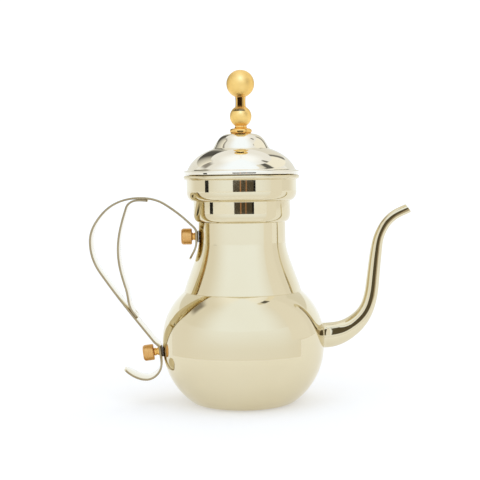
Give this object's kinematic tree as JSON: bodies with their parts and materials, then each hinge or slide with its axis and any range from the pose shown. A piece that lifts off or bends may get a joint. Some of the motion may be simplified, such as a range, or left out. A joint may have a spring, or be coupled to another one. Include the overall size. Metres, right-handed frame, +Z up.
{
  "type": "dallah coffee pot",
  "caption": "Polished metal coffee pot with a gourd-shaped body, lift-off domed lid with ball finial, long curved spout and bent flat-strip handle.",
  "frame": {"origin": "centre of the flat underside of the base, on the axis of the body", "axes": "+Z up along the axis of the body, +X towards the spout, the handle stands at -X, Y across the pot"},
  "size_m": [0.2178, 0.11, 0.2251],
  "materials": {
    "body_polished": "mirror-polished pale champagne gold plating",
    "lid_polished": "mirror-polished, nearly silver",
    "cap_brushed": "brushed rose gold, fine lines round the axis",
    "ball_satin": "satin gold",
    "trim_polished": "polished gold",
    "spacer_dark": "dark satin",
    "hidden_steel": "plain machined"
  },
  "bodies": {
    "pot": {"bulb_shell": "body_polished", "neck_shell": "body_polished", "spout": "body_polished", "handle_strip": "body_polished", "handle_brace": "body_polished", "upper_stud": "hidden_steel", "lower_stud": "hidden_steel", "upper_spacer": "spacer_dark", "lower_spacer": "spacer_dark", "upper_boss": "trim_polished", "lower_boss": "trim_polished"},
    "upper_cap": {"upper_cap_nut": "cap_brushed"},
    "lower_cap": {"lower_cap_nut": "cap_brushed"},
    "lid": {"lid_dome": "lid_polished", "lid_skirt": "lid_polished", "finial_base_ring": "trim_polished", "finial_lower_ball": "ball_satin", "finial_neck": "trim_polished", "finial_top_ball": "ball_satin", "finial_rod": "hidden_steel", "finial_washer": "hidden_steel", "finial_nut": "hidden_steel"}
  },
  "joints": [
    {"name": "lid_lift", "type": "slide", "parent": "pot", "child": "lid", "axis": [0, 0, 1], "range_m": [0, 0.06]},
    {"name": "upper_cap_turn", "type": "hinge", "parent": "pot", "child": "upper_cap", "pos_m": [-0.0295, 0, 0.1132], "axis": [-1, 0, 0], "range_deg": [0, 2160]},
    {"name": "lower_cap_turn", "type": "hinge", "parent": "pot", "child": "lower_cap", "pos_m": [-0.05488, 0, 0.0356], "axis": [-0.9925, 0, -0.1219], "range_deg": [0, 2160]}
  ]
}
